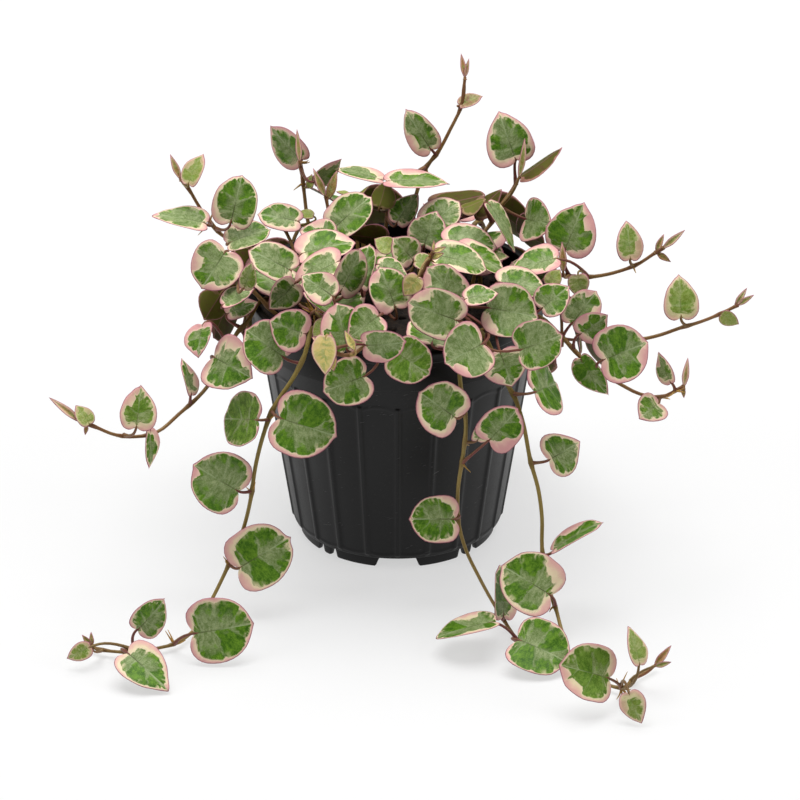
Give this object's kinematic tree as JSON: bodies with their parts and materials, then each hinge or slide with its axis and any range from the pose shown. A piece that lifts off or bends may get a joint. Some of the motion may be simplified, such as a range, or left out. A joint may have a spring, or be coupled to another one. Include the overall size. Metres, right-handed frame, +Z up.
{
  "type": "string of hearts plant in a nursery pot",
  "caption": "Trailing succulent vine with variegated heart-shaped leaves on thin stems, rooted in a ribbed round nursery pot that stands on its foot ring.",
  "frame": {"origin": "on the pot's axis, at the surface that its foot ring stands on", "axes": "+Z up along the pot's axis; -Y towards the side with the three long trails; +X to the right of that side"},
  "size_m": [0.2495, 0.3034, 0.159],
  "materials": {
    "pot_plastic": "satin moulded",
    "potting_mix": "rough, fibrous",
    "leaf_and_stem": "waxy variegated leaf on a matte stem"
  },
  "bodies": {
    "root": {"pot": "pot_plastic", "soil": "potting_mix", "vine_front_left_trail": "leaf_and_stem", "vine_front_middle_trail": "leaf_and_stem", "vine_front_right_trail": "leaf_and_stem", "vine_left_long": "leaf_and_stem", "vine_left_shoot": "leaf_and_stem", "vine_upper_left": "leaf_and_stem", "vine_top_left": "leaf_and_stem", "vine_back_left_shoot": "leaf_and_stem", "vine_top": "leaf_and_stem", "vine_upper_right": "leaf_and_stem", "vine_right_upper_arm": "leaf_and_stem", "vine_right_arm": "leaf_and_stem", "vine_right_lower": "leaf_and_stem", "vine_front_shoot": "leaf_and_stem", "vine_middle_shoot": "leaf_and_stem", "crown_left_back": "leaf_and_stem", "crown_left_front": "leaf_and_stem", "crown_front": "leaf_and_stem", "crown_centre": "leaf_and_stem", "crown_back_left": "leaf_and_stem", "crown_back": "leaf_and_stem", "crown_back_right": "leaf_and_stem", "crown_right": "leaf_and_stem", "crown_middle_right": "leaf_and_stem", "crown_right_front": "leaf_and_stem", "vine_back_1": "leaf_and_stem", "vine_back_2": "leaf_and_stem", "vine_back_3": "leaf_and_stem", "vine_back_4": "leaf_and_stem", "vine_back_5": "leaf_and_stem", "vine_back_6": "leaf_and_stem"}
  },
  "joints": []
}
